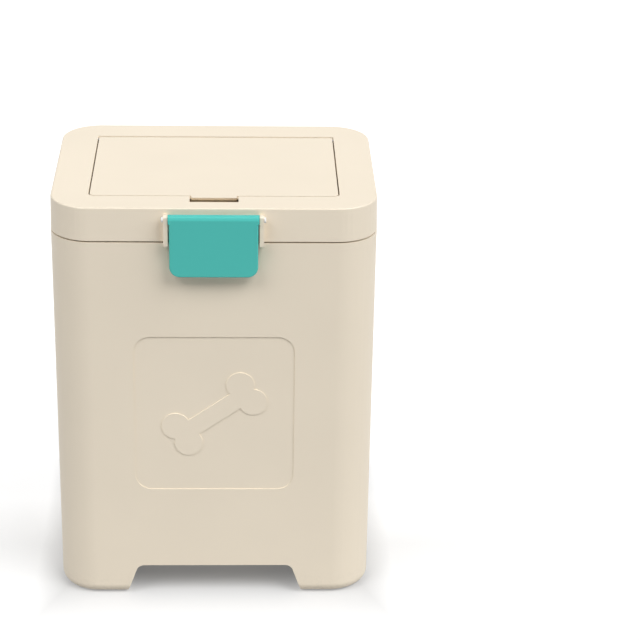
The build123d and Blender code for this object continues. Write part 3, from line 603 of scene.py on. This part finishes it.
# %% Rings and ends
bpy.ops.object.select_all(action="DESELECT")
bpy.ops.mesh.primitive_cylinder_add(vertices=ROLL_SEGMENTS, radius=roll_r, depth=2 * roll_half,
                                    end_fill_type="NOTHING", location=roll_middle,
                                    rotation=(0, radians(90), 0))
bags = start_piece("bag_roll")
pick(bags, "EDGE", lambda e: abs(e.verts[0].co.x - e.verts[1].co.x) > roll_half)
bpy.ops.mesh.subdivide(number_cuts=ROLL_RINGS)
for side in (-1, 1):
    pick(bags, "EDGE", lambda e: e.is_boundary and e.verts[0].co.x * side > 0)
    radius = roll_r
    for layer in range(END_LAYERS):
        inner = roll_r + (core_r - roll_r) * (layer + 1) / END_LAYERS
        step = LAYER_STEP * (0.9 if layer % 2 == 0 else -0.6 - 0.5 * (layer % 3))
        bpy.ops.mesh.extrude_region_move()
        bpy.ops.transform.resize(value=(1, inner / radius, inner / radius), center_override=roll_middle)
        bpy.ops.transform.translate(value=(side * step, 0, 0))
        radius = inner
pick(bags, "EDGE", lambda e: e.is_boundary)
bpy.ops.mesh.bridge_edge_loops()
bpy.ops.mesh.select_all(action="SELECT")
bpy.ops.mesh.normals_make_consistent(inside=False)
bpy.ops.object.mode_set(mode="OBJECT")
print("roll faces:", len(bags.data.polygons))

# %% [markdown]
# A bent plane could be the loose tail, but it would have to be fitted to the roll. A few rows of
# the roll's own outer faces, copied, have the right curve already. The row at the free edge is
# lifted most and each next one less, down to just under the skin, and the strip gets its thickness.

# %% Loose tail
def turn_of(point):
    """The angle of a point round the roll's axis, in degrees, 0 to the rear and 90 at the top."""
    return degrees(atan2(point.z - roll_middle.z, point.y - roll_middle.y)) % 360


def in_tail(face):
    """Whether a face lies on the roll's outer skin and in the rows of the tail."""
    middle = face.calc_center_median()
    on_skin = face.normal.x ** 2 < 0.1 and (middle.yz - roll_middle.yz).length > 0.9 * roll_r
    return on_skin and TAIL_START < turn_of(middle) < TAIL_START + TAIL_ROWS * row


row = 360 / ROLL_SEGMENTS
select_only(bags)
bpy.ops.object.mode_set(mode="EDIT")
pick(bags, "FACE", in_tail)
bpy.ops.mesh.duplicate()
bpy.ops.mesh.separate(type="SELECTED")
bpy.ops.object.mode_set(mode="OBJECT")
tail = next(piece for piece in bpy.context.selected_objects if piece is not bags)
tail.name = "bag_tail"
select_only(tail)
bpy.ops.object.mode_set(mode="EDIT")
for index in range(TAIL_ROWS + 1):
    angle = TAIL_START + index * row
    pick(tail, "VERT", lambda v: abs(turn_of(v.co) - angle) < row / 2)
    lift = 1 + TAIL_LIFT / roll_r * (1 - index / TAIL_ROWS) ** 2 - TAIL_SUNK * index / TAIL_ROWS
    bpy.ops.transform.resize(value=(1, lift, lift), center_override=roll_middle)
bpy.ops.object.mode_set(mode="OBJECT")
add_modifier(tail, "SOLIDIFY", thickness=TAIL_T, offset=0)
print("tail faces:", len(tail.data.polygons))

# %% [markdown]
# Bump alone would leave the roll's outline smooth, so the long wrinkles are pushed into the mesh.
# An empty stretches a cloud pattern along the roll, and a vertex group lets it fade towards the
# core. A finer pattern adds the creases in between.

# %% Wrinkles
select_only(bags)
outer = bags.vertex_groups.new(name="outer")
for vertex in bags.data.vertices:
    below_skin = (roll_r - (vertex.co.yz - roll_middle.yz).length) / (roll_r - core_r)
    outer.add([vertex.index], max(0.0, min(1.0, 1 - WRINKLE_FADE * below_skin)), "REPLACE")
displace(bags, "CLOUDS", WRINKLE_SIZE, WRINKLE_DEPTH, 0.55, (7, 1, 1), "outer")
displace(bags, "CLOUDS", CREASE_SIZE, CREASE_DEPTH, 0.5, (2.2, 1, 1), "outer")
displace(tail, "CLOUDS", WRINKLE_SIZE, TAIL_WAVE, 0.5, (7, 1, 1))
select_only(bags)
tail.select_set(True)
bpy.ops.object.join()
bpy.ops.object.shade_smooth()
bags.vertex_groups.clear()
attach(bags, body_of("roll_film"))
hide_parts("roll_film")
print("bag roll:", len(bags.data.polygons), "faces, reach in mm:",
      round(max((v.co.yz - roll_middle.yz).length for v in bags.data.vertices) / MM, 2))

# %% [markdown]
# ## The carbon filter
# The filter is a pad of open foam filled with carbon. Its faces are pitted, its edges are soft from
# the knife, and it has a slot for a finger. A box is cut along four planes, the slot's floor and
# roof are taken out and their rims bridged, and a voxel remesh gives the even small faces that
# pits need. A cell pattern then presses the pits in, inwards only, so the pad keeps its size.

# %% Filter
FOAM_VOXEL = 0.85 * MM
PIT_SIZE = 2.3 * MM
PIT_DEPTH = 0.7 * MM
FOAM_EDGE = 2 * MM
FOAM_EDGE_STEPS = 4
SLOT_HALF = Vector((19 * MM, 2.25 * MM))

foam_low, foam_high = (Vector(corner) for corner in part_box("carbon_filter"))
foam_middle = (foam_low + foam_high) / 2
bpy.ops.object.select_all(action="DESELECT")
bpy.ops.mesh.primitive_cube_add(size=1, location=foam_middle, scale=foam_high - foam_low)
foam = start_piece("carbon_foam_pad")
pick(foam, "EDGE", lambda e: abs(e.verts[0].co.z - e.verts[1].co.z) > FOAM_EDGE)
bpy.ops.mesh.bevel(offset=FOAM_EDGE, segments=FOAM_EDGE_STEPS)
for axis in (0, 1):
    for side in (-1, 1):
        normal = Vector((axis == 0, axis == 1, 0))
        bpy.ops.mesh.select_all(action="SELECT")
        bpy.ops.mesh.bisect(plane_co=foam_middle + side * SLOT_HALF[axis] * normal, plane_no=normal)
pick(foam, "FACE", lambda f: abs(f.normal.z) > 0.9
     and (f.calc_center_median() - foam_middle).xy.length < 1 * MM)
bpy.ops.mesh.delete(type="FACE")
pick(foam, "EDGE", lambda e: e.is_boundary)
bpy.ops.mesh.bridge_edge_loops()
bpy.ops.mesh.select_all(action="SELECT")
bpy.ops.mesh.normals_make_consistent(inside=False)
bpy.ops.object.mode_set(mode="OBJECT")
add_modifier(foam, "REMESH", mode="VOXEL", voxel_size=FOAM_VOXEL)
displace(foam, "VORONOI", PIT_SIZE, PIT_DEPTH, 1.0)
bpy.ops.object.shade_smooth()
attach(foam, body_of("carbon_filter"))
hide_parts("carbon_filter")
print("foam pad:", len(foam.data.polygons), "faces")

# %% [markdown]
# ## Finishes on every piece
# The record says which finish each sub-part has. Walking through it gives the softened copies and
# the CAD nodes that stay as they are the same materials, and no piece is forgotten.

# %% Paint
slots = {part["node"]: part["material_slot"] for part in frame["record"]["subparts"]}
dressed.update({"roll_film": bags, "carbon_filter": foam})
for node, slot in slots.items():
    piece = dressed.get(node, frame["nodes"][node])
    if node in dressed:
        piece.data.materials.clear()
        piece.data.materials.append(finish[slot])
    else:
        for index in range(len(piece.material_slots)):
            piece.material_slots[index].material = finish[slot]
print("painted:", len(slots))
